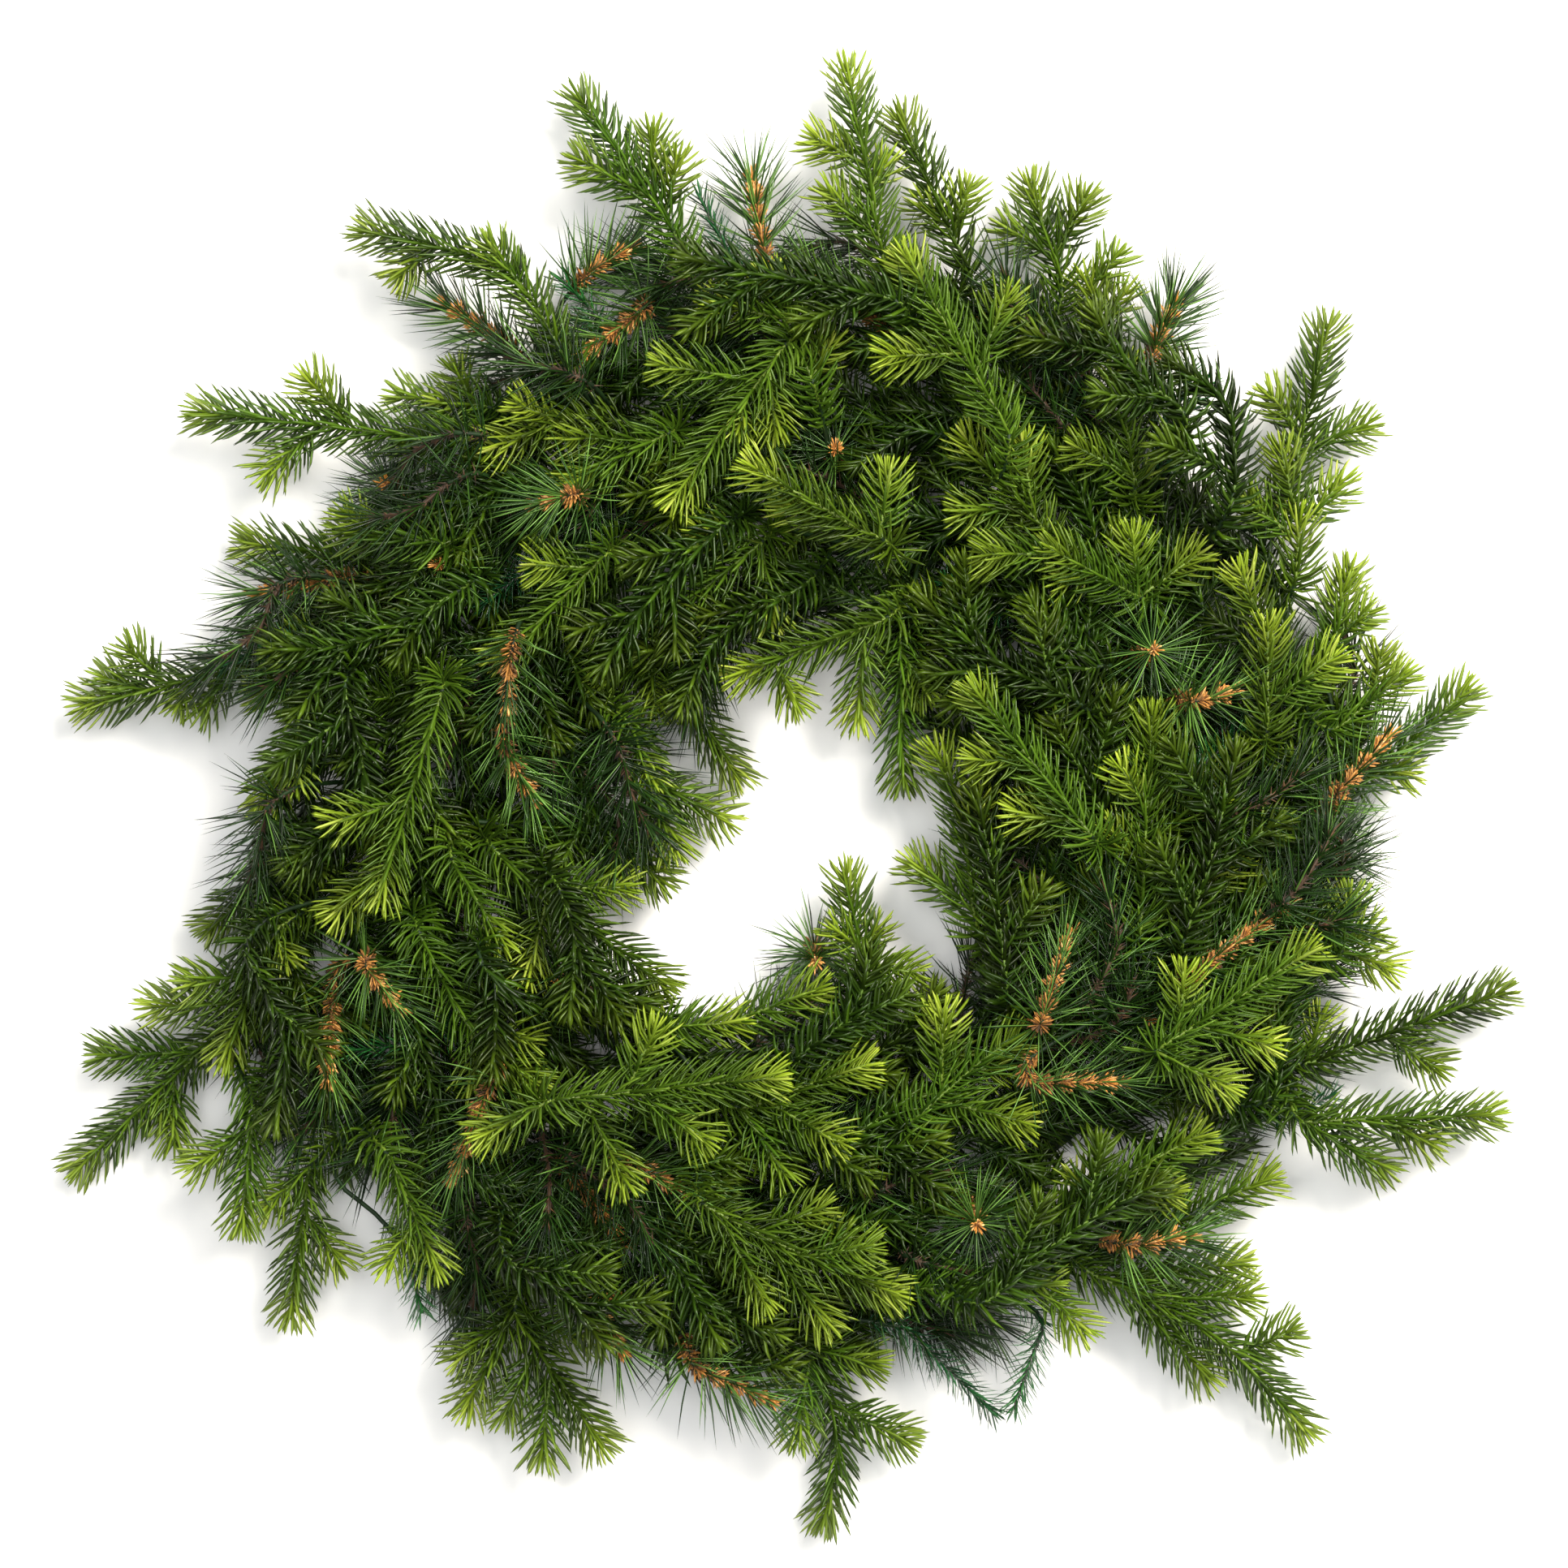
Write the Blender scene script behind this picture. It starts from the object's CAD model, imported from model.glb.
# %% [markdown]
# # An artificial pine wreath
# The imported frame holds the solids: a wire frame of two rings, and the sprays of
# foliage that are hooked over it, each with a few needles.
# This script dresses them. It lays the sprays out again by the rule that the
# solids were laid out by, and grows each one's full foliage along the same stems.
# Lengths are in metres, and +Z is up, out of the front of the wreath.

# %% Start
from collections import namedtuple
import itertools
import math

import bmesh
import bpy
from mathutils import Matrix, Vector
import numpy as np


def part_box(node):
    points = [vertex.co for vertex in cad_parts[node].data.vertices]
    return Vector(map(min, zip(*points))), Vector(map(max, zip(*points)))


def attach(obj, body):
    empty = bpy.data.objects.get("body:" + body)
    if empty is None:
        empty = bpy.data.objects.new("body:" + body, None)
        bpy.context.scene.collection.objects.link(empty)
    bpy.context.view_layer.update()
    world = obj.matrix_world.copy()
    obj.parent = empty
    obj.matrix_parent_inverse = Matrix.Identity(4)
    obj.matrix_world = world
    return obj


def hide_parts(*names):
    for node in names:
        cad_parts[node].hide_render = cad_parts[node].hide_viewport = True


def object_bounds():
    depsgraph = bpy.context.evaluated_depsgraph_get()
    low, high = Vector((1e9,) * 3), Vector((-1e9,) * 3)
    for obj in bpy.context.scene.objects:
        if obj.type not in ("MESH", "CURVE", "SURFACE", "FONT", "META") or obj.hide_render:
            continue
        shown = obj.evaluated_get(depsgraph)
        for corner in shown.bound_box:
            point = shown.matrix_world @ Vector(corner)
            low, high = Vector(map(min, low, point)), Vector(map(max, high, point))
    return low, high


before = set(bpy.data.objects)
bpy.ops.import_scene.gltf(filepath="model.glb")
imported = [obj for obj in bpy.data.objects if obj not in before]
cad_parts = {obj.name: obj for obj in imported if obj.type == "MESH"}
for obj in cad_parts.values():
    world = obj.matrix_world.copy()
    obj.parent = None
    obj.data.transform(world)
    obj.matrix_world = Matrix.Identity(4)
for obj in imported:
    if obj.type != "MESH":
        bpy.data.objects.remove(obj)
cad_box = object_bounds()
print("solids", len(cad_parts), "box", cad_box)

# %% [markdown]
# ## Where everything is
# A wreath is made by hand, so no rule gives its sprays. Their roots, tips and side
# twigs are read off the photograph by eye, in its pixels, with the layer each is in.
# The rule below lifts each spray until it clears the ones under it, and finds the
# clearest way for its stalk down to a ring.

# %% Sizes and places
MM = 0.001
# Places are read off the photograph, which looks straight down, in its pixels.
PIXEL = 0.33 * MM
ORIGIN_PIXEL = (974.0, 980.5)
RING_CENTRE_PIXEL = (994.0, 1000.0)
INNER_RING_RADIUS = 125 * MM
OUTER_RING_RADIUS = 172 * MM
RING_WIRE_ACROSS_FLATS = 4 * MM
RING_WIRE_HEIGHT = RING_WIRE_ACROSS_FLATS / 2
TIE_RADIUS = 1.4 * MM
TIE_COUNT = 6
STALK_RADIUS = 1.0 * MM

# The solids' stems: their radius, their needles, and where their rings of needles lie.
Foliage = namedtuple("Foliage", "stem_radius needle band pitch lead bare")
FOLIAGE = {
    "fir": Foliage(1.25 * MM, 13 * MM, 3.0 * MM, 14.5 * MM, 11 * MM, 8 * MM),
    "foil": Foliage(1.1 * MM, 11 * MM, 3.0 * MM, 9 * MM, 8 * MM, 5 * MM),
    "pine": Foliage(2.0 * MM, 28 * MM, 3.0 * MM, 11 * MM, 1 * MM, 4 * MM),
}


def on_plan(pixel):
    """A photograph pixel as x and y on the wreath."""
    return np.array(
        [(pixel[0] - ORIGIN_PIXEL[0]) * PIXEL, (ORIGIN_PIXEL[1] - pixel[1]) * PIXEL]
    )


RING_CENTRE = on_plan(RING_CENTRE_PIXEL)


# %% The sprays, as read off the photograph
# Each spray: what it is, its layer from 0 at the bottom to 3 on top, its main
# stem from root to tip, then each side twig from its fork to its tip. A spray
# with a single point stands on end.
Spray = namedtuple("Spray", "kind layer stems")


def fir(layer, *stems):
    return Spray("fir", layer, stems)


def pine(layer, *stems):
    return Spray("pine", layer, stems)


def foil(layer, *stems):
    return Spray("foil", layer, stems)


BRANCHES = [
    [fir(2, [(1086, 310), (1041, 64)], [(1029, 209), (987, 164)], [(1073, 234), (1099, 183)],
         [(1086, 301), (1006, 224)]),
     fir(1, [(1200, 345), (1102, 122)], [(1182, 282), (1198, 212)], [(1160, 290), (1120, 235)])],
    [fir(1, [(1310, 350), (1265, 205)], [(1309, 311), (1347, 225)], [(1226, 336), (1223, 266)]),
     fir(1, [(1360, 400), (1332, 322)], [(1357, 348), (1389, 300)], [(1402, 405), (1396, 341)])],
    [fir(3, [(1240, 540), (1105, 304)], [(1185, 438), (1070, 448)], [(1235, 450), (1245, 352)])],
    [fir(2, [(1000, 470), (936, 323)], [(946, 406), (856, 374)], [(1048, 451), (1032, 406)]),
     foil(1, [(915, 350), (855, 225)]),
     pine(1, [(1030, 553)])],
    [fir(1, [(827, 280), (701, 100)], [(803, 244), (695, 187)], [(809, 244), (803, 142)],
         [(825, 262), (839, 178)])],
    [fir(2, [(690, 430), (640, 350), (560, 310), (430, 278)], [(650, 360), (591, 290)],
         [(527, 319), (476, 354)]),
     foil(1, [(735, 390), (680, 330)], [(719, 469), (671, 427)])],
    [fir(3, [(967, 432), (820, 636)], [(919, 464), (798, 454)], [(960, 464), (957, 556)],
         [(925, 500), (909, 553)])],
    [fir(2, [(823, 537), (683, 607)], [(800, 535), (674, 542)]),
     fir(2, [(700, 520), (591, 561)], [(690, 520), (623, 494)])],
    [fir(1, [(600, 500), (518, 494)], [(560, 517), (496, 561)], [(527, 510), (471, 482)],
         [(585, 480), (553, 435)]),
     fir(2, [(560, 545), (224, 504)], [(439, 523), (367, 453)], [(391, 555), (312, 597)])],
    [fir(2, [(540, 670), (404, 655)], [(470, 650), (414, 622)]),
     fir(0, [(450, 690), (277, 664)])],
    [fir(1, [(330, 815), (78, 872)], [(200, 820), (142, 785)], [(180, 850), (105, 830)],
         [(230, 820), (211, 887)], [(289, 850), (231, 891)])],
    [fir(1, [(480, 860), (297, 850)], [(489, 785), (346, 772)], [(580, 745), (484, 744)]),
     foil(1, [(346, 793), (264, 825)])],
    [fir(2, [(743, 690), (603, 830)], [(730, 700), (641, 697)]),
     fir(1, [(804, 799), (718, 853)], [(820, 830), (810, 894)], [(880, 850), (920, 975)]),
     foil(1, [(646, 705), (583, 753)])],
    [fir(2, [(938, 670), (798, 783)], [(951, 655), (842, 652)], [(954, 677), (954, 783)]),
     fir(3, [(1085, 668), (948, 617)], [(1062, 655), (909, 572)], [(1085, 660), (1095, 568)])],
    [fir(2, [(1091, 763), (887, 840)], [(960, 840), (992, 885)], [(1075, 800), (1055, 905)])],
    [fir(1, [(1110, 790), (1113, 985)], [(1120, 800), (1155, 870)])],
    [fir(2, [(387, 880), (313, 1009)], [(370, 920), (372, 985)]),
     fir(0, [(325, 1083), (238, 1160)])],
    [fir(3, [(550, 854), (468, 1125)], [(468, 972), (399, 1017)], [(427, 1046), (403, 1140)])],
    [fir(2, [(340, 1150), (270, 1323)], [(290, 1190), (213, 1212)], [(260, 1215), (168, 1243)],
         [(340, 1140), (366, 1197)])],
    [fir(0, [(260, 1280), (74, 1457)], [(229, 1288), (98, 1302)], [(205, 1350), (190, 1406)],
         [(225, 1350), (209, 1432)]),
     fir(2, [(315, 1360), (297, 1527)], [(283, 1387), (225, 1448)])],
    [fir(1, [(380, 1440), (351, 1645)], [(372, 1438), (311, 1502)], [(395, 1495), (426, 1576)]),
     fir(2, [(480, 1420), (548, 1580)], [(480, 1518), (468, 1572)]),
     foil(1, [(500, 1540), (522, 1635)])],
    [fir(1, [(633, 1618), (751, 1802)], [(640, 1713), (665, 1817)], [(636, 1675), (614, 1767)],
         [(594, 1641), (564, 1756)], [(636, 1618), (732, 1660)], [(568, 1599), (548, 1690)])],
    [fir(2, [(520, 1150), (586, 1272), (678, 1345)], [(590, 1250), (675, 1285)],
         [(575, 1275), (589, 1355)]),
     foil(1, [(540, 1280), (420, 1298)])],
    [fir(2, [(611, 1046), (669, 1100), (835, 1227)], [(669, 1087), (793, 1093)],
         [(659, 1129), (647, 1221)]),
     fir(1, [(653, 1020), (765, 1046), (831, 1103)]),
     fir(2, [(560, 1060), (634, 1180)])],
    [fir(2, [(780, 900), (838, 1067)], [(790, 915), (809, 979)], [(805, 960), (910, 1020)])],
    [fir(3, [(684, 1349), (975, 1322)], [(772, 1334), (818, 1246)], [(787, 1349), (887, 1410)],
         [(722, 1364), (783, 1468)], [(676, 1357), (581, 1403)])],
    [fir(2, [(826, 1265), (929, 1257)], [(900, 1262), (1028, 1211)]),
     fir(2, [(914, 1364), (1086, 1303)], [(950, 1375), (1051, 1414)], [(917, 1380), (979, 1464)])],
    [fir(2, [(868, 1479), (971, 1533), (1120, 1598)], [(1000, 1520), (1090, 1529)],
         [(933, 1517), (1032, 1644)], [(875, 1502), (952, 1617)], [(933, 1510), (1032, 1479)])],
    [fir(1, [(933, 1647), (1098, 1686)], [(987, 1717), (980, 1794)]),
     fir(0, [(1010, 1690), (1033, 1790), (1010, 1901)], [(1075, 1725), (1137, 1786)]),
     foil(1, [(818, 1640), (933, 1640)]),
     foil(1, [(1114, 1637), (1236, 1752)])],
    [fir(2, [(1133, 1587), (1316, 1580)], [(1297, 1599), (1347, 1652)]),
     fir(2, [(1339, 1471), (1493, 1386)], [(1355, 1455), (1461, 1471)],
         [(1330, 1460), (1312, 1429)]),
     foil(1, [(1286, 1633), (1244, 1748)])],
    [fir(2, [(1121, 1381), (1212, 1302), (1268, 1266)], [(1150, 1340), (1161, 1224)],
         [(1200, 1320), (1248, 1318)], [(1170, 1370), (1281, 1385)])],
    [fir(2, [(1065, 1190), (1038, 1058)], [(1045, 1175), (1013, 1133)],
         [(1075, 1175), (1089, 1126)], [(1090, 1235), (1145, 1200)])],
    [fir(2, [(1200, 1130), (1182, 991), (1143, 905)], [(1195, 1040), (1214, 966)],
         [(1180, 1120), (1112, 1052)], [(1207, 1167), (1245, 1112)])],
    [fir(3, [(1341, 1030), (1239, 902), (1185, 835)], [(1255, 947), (1179, 937)],
         [(1316, 1020), (1230, 998)])],
    [fir(2, [(1402, 1154), (1418, 861)], [(1400, 1000), (1367, 928)], [(1434, 1049), (1510, 956)],
         [(1421, 1071), (1351, 1007)], [(1415, 1144), (1536, 1049)])],
    [fir(2, [(1286, 657), (1174, 527)], [(1286, 629), (1254, 530)], [(1248, 635), (1162, 635)]),
     foil(1, [(1203, 759), (1158, 705)])],
    [fir(2, [(1401, 737), (1273, 670)], [(1407, 724), (1388, 641)], [(1465, 756), (1490, 673)],
         [(1273, 683), (1190, 686)], [(1286, 826), (1286, 721)])],
    [fir(2, [(1396, 600), (1373, 431)], [(1386, 590), (1306, 545)], [(1400, 620), (1423, 570)]),
     pine(1, [(1432, 405), (1450, 370)]),
     foil(1, [(1440, 549), (1470, 440)], [(1445, 530), (1428, 437)], [(1450, 530), (1498, 460)])],
    [fir(1, [(1590, 600), (1644, 380)], [(1574, 526), (1552, 469)], [(1606, 558), (1705, 515)]),
     fir(2, [(1592, 723), (1602, 618)], [(1557, 643), (1570, 535)], [(1621, 628), (1666, 580)],
         [(1540, 660), (1509, 602)])],
    [fir(2, [(1640, 800), (1656, 704)], [(1663, 787), (1698, 742)], [(1605, 739), (1669, 685)]),
     fir(2, [(1640, 900), (1742, 820)], [(1669, 835), (1701, 787)]),
     fir(1, [(1690, 960), (1825, 837)], [(1710, 960), (1757, 954)])],
    [fir(2, [(1557, 900), (1557, 752)], [(1573, 867), (1653, 800)], [(1540, 760), (1516, 688)]),
     foil(1, [(1447, 979), (1488, 934)], [(1511, 923), (1542, 892)])],
    [fir(2, [(1653, 1170), (1665, 1083)], [(1660, 1165), (1708, 1138)],
         [(1646, 1195), (1727, 1200)]),
     fir(3, [(1418, 1291), (1625, 1158)], [(1418, 1307), (1524, 1344)],
         [(1480, 1280), (1577, 1291)], [(1430, 1250), (1456, 1176)])],
    [fir(1, [(1609, 1312), (1875, 1217)], [(1710, 1286), (1790, 1328)],
         [(1588, 1280), (1636, 1233)]),
     fir(2, [(1600, 1380), (1859, 1376)], [(1700, 1385), (1784, 1418)],
         [(1577, 1413), (1726, 1450)]),
     foil(1, [(1577, 1381), (1657, 1344)])],
    [fir(1, [(1339, 1567), (1471, 1630), (1551, 1699), (1625, 1784)],
         [(1524, 1673), (1609, 1636)], [(1418, 1609), (1562, 1599)], [(1386, 1599), (1503, 1715)],
         [(1376, 1556), (1551, 1556)]),
     fir(1, [(1480, 1490), (1583, 1445)])],
]
PICKS = [
    [pine(1, [(620, 418), (545, 373)]),
     pine(1, [(732, 329), (781, 303)]),
     pine(1, [(795, 380), (719, 440)])],
    [pine(1, [(942, 311), (925, 215)]),
     pine(1, [(1089, 400), (995, 333)]),
     pine(1, [(1213, 397)])],
    [pine(2, [(700, 615), (662, 625)]),
     pine(1, [(541, 696)])],
    [pine(1, [(417, 711), (310, 734)]),
     pine(1, [(474, 595)])],
    [pine(2, [(631, 821), (627, 887)]),
     pine(2, [(631, 936), (660, 985)])],
    [pine(2, [(1420, 801)]),
     pine(2, [(1475, 865), (1522, 850)])],
    [pine(1, [(1653, 1055)]),
     pine(2, [(1643, 979), (1711, 905)])],
    [pine(1, [(1354, 1081)]),
     pine(2, [(1280, 1254), (1316, 1148)])],
    [pine(2, [(1466, 1201), (1588, 1109)]),
     pine(1, [(1416, 1254)]),
     pine(2, [(1270, 1331), (1382, 1331)])],
    [pine(2, [(1203, 1507)]),
     pine(2, [(1397, 1532), (1466, 1522)])],
    [pine(2, [(455, 1192), (496, 1243)]),
     pine(1, [(410, 1215), (407, 1330)])],
    [pine(1, [(688, 1215)]),
     pine(2, [(602, 1345), (560, 1449)])],
    [pine(1, [(698, 1440), (770, 1530)]),
     pine(2, [(786, 1434), (860, 1475)]),
     pine(1, [(656, 1515)])],
    [pine(2, [(856, 1682), (952, 1724)]),
     pine(1, [(735, 1620), (768, 1665)])],
    [pine(1, [(1074, 1442)]),
     pine(1, [(1005, 1187)])],
]

# %% Lines in space
def smooth(points, steps):
    """A Catmull-Rom curve through the points, with so many steps to a span."""
    ends = np.vstack([2 * points[0] - points[1], points, 2 * points[-1] - points[-2]])
    curve = [points[0]]
    for before, start, end, after in zip(ends, ends[1:], ends[2:], ends[3:]):
        for step in range(1, steps + 1):
            t = step / steps
            curve.append(
                0.5
                * (
                    2 * start
                    + (end - before) * t
                    + (2 * before - 5 * start + 4 * end - after) * t * t
                    + (3 * start - before - 3 * end + after) * t**3
                )
            )
    return np.array(curve)


def bezier(a, b, c, d, steps):
    return np.array(
        [
            a * (1 - t) ** 3
            + 3 * b * t * (1 - t) ** 2
            + 3 * c * t * t * (1 - t)
            + d * t**3
            for t in np.linspace(0, 1, steps + 1)
        ]
    )


def walked(line):
    """How far along a line each of its points is."""
    steps = np.linalg.norm(np.diff(line, axis=0), axis=1)
    return np.concatenate([[0], np.cumsum(steps)])


def along(line, distances, values=None):
    """A line's points at these distances along it, or what goes with them there."""
    reached = walked(line)
    columns = (line if values is None else values).T
    return np.column_stack([np.interp(distances, reached, column) for column in columns])


def length_of(line):
    return np.linalg.norm(np.diff(line, axis=0), axis=1).sum()


def unit(rows):
    """Directions with a length of one."""
    return rows / np.linalg.norm(rows, axis=1)[:, None]


# %% A spray's stems
# The foliage is a dome over the rings, highest half way across.
RING_MIDDLE_RADIUS = 150 * MM
OUTER_REACH = 160 * MM
INNER_REACH = 125 * MM
LOWEST_STEM = 12 * MM
HIGHEST_STEM = 92 * MM
LAYER_HEIGHTS = (17 * MM, 34 * MM, 51 * MM, 68 * MM)
DROOP = 0.72
CURVE_STEPS = 4
# A pick seen end-on leans a little away from the ring's centre as it rises.
STANDING_RISE = 26 * MM
STANDING_LEAN = 7 * MM
# Side twigs fork off at the nearest of so many places on their main stem, and
# sway up and down in turn.
FORK_STEPS = 40
FORK_SHARE = 0.95
SWAYS = (6 * MM, -3.6 * MM, 1.8 * MM, -6 * MM, 4.2 * MM)
SWAY_BOW = 0.25
STEM_END_SHARE = 0.7


def height_at(layer, spot):
    """The height of a layer's stems over a spot: a dome that droops on both sides."""
    out = np.linalg.norm(spot - RING_CENTRE) - RING_MIDDLE_RADIUS
    share = min(abs(out) / (OUTER_REACH if out > 0 else INNER_REACH), 1)
    top = LAYER_HEIGHTS[layer]
    return LOWEST_STEM + (top - LOWEST_STEM) * (1 - DROOP * share * share)


def spray_lines(spray, root_lift, tip_lift):
    """A spray's stems as lines in space, the main one first."""
    pixels = spray.stems[0]
    if len(pixels) == 1:
        foot = on_plan(pixels[0])
        outward = foot - RING_CENTRE
        outward /= np.linalg.norm(outward)
        top = height_at(spray.layer, foot) + tip_lift
        low = max(top - STANDING_RISE, LOWEST_STEM)
        lean = STANDING_LEAN * outward
        standing = np.array([[*(foot - lean), low], [*foot, top]])
        return [tube_line(spray.kind, standing)]
    spots = [on_plan(pixel) for pixel in pixels]
    if len(spots) == 2:
        spots.insert(1, (spots[0] + spots[1]) / 2)
    points = []
    for index, spot in enumerate(spots):
        lift = root_lift + (tip_lift - root_lift) * index / (len(spots) - 1)
        height = height_at(spray.layer, spot) + lift
        points.append([*spot, min(max(height, LOWEST_STEM), HIGHEST_STEM)])
    main = tube_line(spray.kind, smooth(np.array(points), CURVE_STEPS))
    lines = [main]
    for index, (fork, tip) in enumerate(spray.stems[1:]):
        reach = FORK_SHARE * length_of(main[:-1])
        forks = along(main, np.linspace(0, reach, FORK_STEPS))
        away = np.linalg.norm(forks[:, :2] - on_plan(fork), axis=1)
        start = forks[int(np.argmin(away))]
        sway = SWAYS[index % len(SWAYS)]
        spot = on_plan(tip)
        drop = height_at(spray.layer, spot) - height_at(spray.layer, start[:2])
        height = min(max(start[2] + drop + sway, LOWEST_STEM), HIGHEST_STEM)
        end = np.array([*spot, height])
        middle = (start + end) / 2
        middle[2] += SWAY_BOW * sway
        lines.append(tube_line(spray.kind, np.array([start, middle, end])))
    return lines


def tube_line(kind, curve):
    """A curve made straight between the rings of the solid stem that follows it."""
    foliage = FOLIAGE[kind]
    length = length_of(curve)
    whorls = []
    spot = length - foliage.lead
    while spot > foliage.bare + foliage.band:
        whorls.append(spot)
        spot -= foliage.pitch
    distances = [0.0]
    for whorl in reversed(whorls):
        distances += [whorl - foliage.band / 2, whorl + foliage.band / 2]
    if not whorls:
        distances.append(length * STEM_END_SHARE)
    return along(curve, distances + [length])


# %% What is already in place
RING_WIRE_SIDES = 6
RING_STEPS = 36
RING_WIRE_CORNER = RING_WIRE_ACROSS_FLATS / 2 / math.cos(math.pi / RING_WIRE_SIDES)
FRAME_OWNER = -1


def pieces_of(line, radius):
    """A line's straight pieces as rows: start, end, radius at each."""
    radii = np.full((len(line) - 1, 2), radius)
    return np.hstack([line[:-1], line[1:], radii])


def gaps(new, old):
    """The gap between each new piece's surface and each old one's."""
    from_new, along_new = new[:, None, 0:3], (new[:, 3:6] - new[:, 0:3])[:, None]
    from_old, along_old = old[None, :, 0:3], (old[:, 3:6] - old[:, 0:3])[None]
    apart = from_new - from_old
    a = (along_new * along_new).sum(-1)
    b = (along_new * along_old).sum(-1)
    c = (along_old * along_old).sum(-1)
    d = (along_new * apart).sum(-1)
    e = (along_old * apart).sum(-1)
    tiny = 1e-12
    s = np.clip((b * e - c * d) / np.maximum(a * c - b * b, tiny), 0, 1)
    t = np.clip((b * s + e) / np.maximum(c, tiny), 0, 1)
    s = np.clip((b * t - d) / np.maximum(a, tiny), 0, 1)
    nearest = apart + s[..., None] * along_new - t[..., None] * along_old
    new_radius = new[:, None, 6] + (new[:, None, 7] - new[:, None, 6]) * s
    old_radius = old[None, :, 6] + (old[None, :, 7] - old[None, :, 6]) * t
    return np.linalg.norm(nearest, axis=-1) - new_radius - old_radius


def near(rows, lines, margin):
    """The placed pieces that lie within a margin of the lines' box on plan."""
    points = np.vstack(lines)[:, :2]
    low, high = points.min(axis=0) - margin, points.max(axis=0) + margin
    ends = np.stack([rows[:, 0:2], rows[:, 3:5]])
    inside = (ends.max(axis=0) > low) & (ends.min(axis=0) < high)
    return rows[inside.all(axis=1)]


class Placed:
    """The straight pieces already in place, and the number of each one's branch."""

    def __init__(self):
        self.rows = np.zeros((0, 8))
        self.owners = np.zeros(0, int)

    def add(self, rows, branch):
        self.rows = np.vstack([self.rows, rows])
        self.owners = np.concatenate([self.owners, np.full(len(rows), branch)])

    def other_branches(self, branch):
        return self.rows[self.owners != branch]


def tie_turn(number):
    return 2 * math.pi * (number + 0.5) / TIE_COUNT


def on_ring(turn, radius):
    """A point on a ring wire's axis, which has a corner at each step of its turn."""
    outward = np.array([math.cos(turn), math.sin(turn)])
    half = math.pi / RING_STEPS
    chord = radius * math.cos(half) / math.cos(turn % (2 * half) - half)
    return np.array([*(RING_CENTRE + chord * outward), RING_WIRE_HEIGHT])


def frame_placed():
    """The frame's wires as the first pieces in place."""
    placed = Placed()
    for radius in (INNER_RING_RADIUS, OUTER_RING_RADIUS):
        turns = np.linspace(0, 2 * math.pi, RING_STEPS + 1)
        circle = np.column_stack([np.cos(turns), np.sin(turns), turns * 0]) * radius
        circle += [*RING_CENTRE, RING_WIRE_HEIGHT]
        placed.add(pieces_of(circle, RING_WIRE_CORNER), FRAME_OWNER)
    for number in range(TIE_COUNT):
        start = on_ring(tie_turn(number), INNER_RING_RADIUS)
        end = on_ring(tie_turn(number), OUTER_RING_RADIUS)
        placed.add(pieces_of(np.array([start, end]), TIE_RADIUS), FRAME_OWNER)
    return placed


# %% Lifting a spray clear
STEM_CLEARANCE = 11 * MM
LIFTS = [lift * MM for lift in (0, 3, -3, 6, -6, 10, -10, 14, 19, 25, 32)]
LIFT_COST = 0.06


def settled(placed, spray, branch):
    """The spray's lines, lifted at root and tip until they clear the others."""
    best = None
    old = near(placed.other_branches(branch), spray_lines(spray, 0, 0), STEM_CLEARANCE)
    for root_lift in LIFTS:
        for tip_lift in LIFTS:
            lines = spray_lines(spray, root_lift, tip_lift)
            rows = np.vstack([pieces_of(line, 0) for line in lines])
            gap = gaps(rows, old).min() if len(old) else STEM_CLEARANCE
            moved = abs(root_lift) + abs(tip_lift)
            score = min(gap, STEM_CLEARANCE) - LIFT_COST * moved
            if best is None or score > best[0]:
                best = (score, lines)
    return best[1]


# %% Finding a stalk's way down
# Each stalk is hooked over a ring at three angles round its wire, or forks off the
# first stalk of its branch. The clearest way is taken, less a cost for its length
# and for turns sharper than a right angle or so.
HOOK_RADIUS = 3.76 * MM
HOOK_ANGLES = (187, 142, 97)
STALK_CLEARANCE = 3.2 * MM
STALK_TURNS = (0, 5, -5, 10, -10, 16, -16, 22, -22)
STALK_REACHES = (26 * MM, 16 * MM, 36 * MM)
STALK_DIPS = (0, 7 * MM, 14 * MM)
STALK_PIECES = 3
HOOK_LEAVES_OUT = 3 * MM
HOOK_LEAVES_UP = 0.6 * MM
STALK_STARTS_OUT = 5 * MM
STALK_STARTS_UP = 0.35
STALK_LEAST_RISE = 5 * MM
ARM_START_SHARE = 1.5
STALK_LENGTH_COST = 0.02
KINK_COSINE = 0.3
KINK_COST = 8 * MM
LOWEST_NEEDLE = 1.5 * MM


def hooked_stalk(root, heading, reach, dip, ring_radius, turn):
    """A stalk's line: hooked over a ring's wire, then up and in to a spray's root."""
    wire = on_ring(turn, ring_radius)
    outward = np.array([math.cos(turn), math.sin(turn), 0])
    if np.linalg.norm(root[:2] - RING_CENTRE) < ring_radius:
        outward = -outward
    up = np.array([0, 0, 1])
    hook = [
        wire + HOOK_RADIUS * (math.cos(math.radians(angle)) * outward
                              + math.sin(math.radians(angle)) * up)
        for angle in HOOK_ANGLES
    ]
    leave = hook[-1] + HOOK_LEAVES_OUT * outward + HOOK_LEAVES_UP * up
    behind = root - reach * heading
    behind[2] = max(behind[2] - dip, leave[2] + STALK_LEAST_RISE)
    rise = leave + STALK_STARTS_OUT * outward
    rise += (root[2] - leave[2]) * STALK_STARTS_UP * up
    return np.vstack([hook, bezier(leave, rise, behind, root, STALK_PIECES)])


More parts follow.
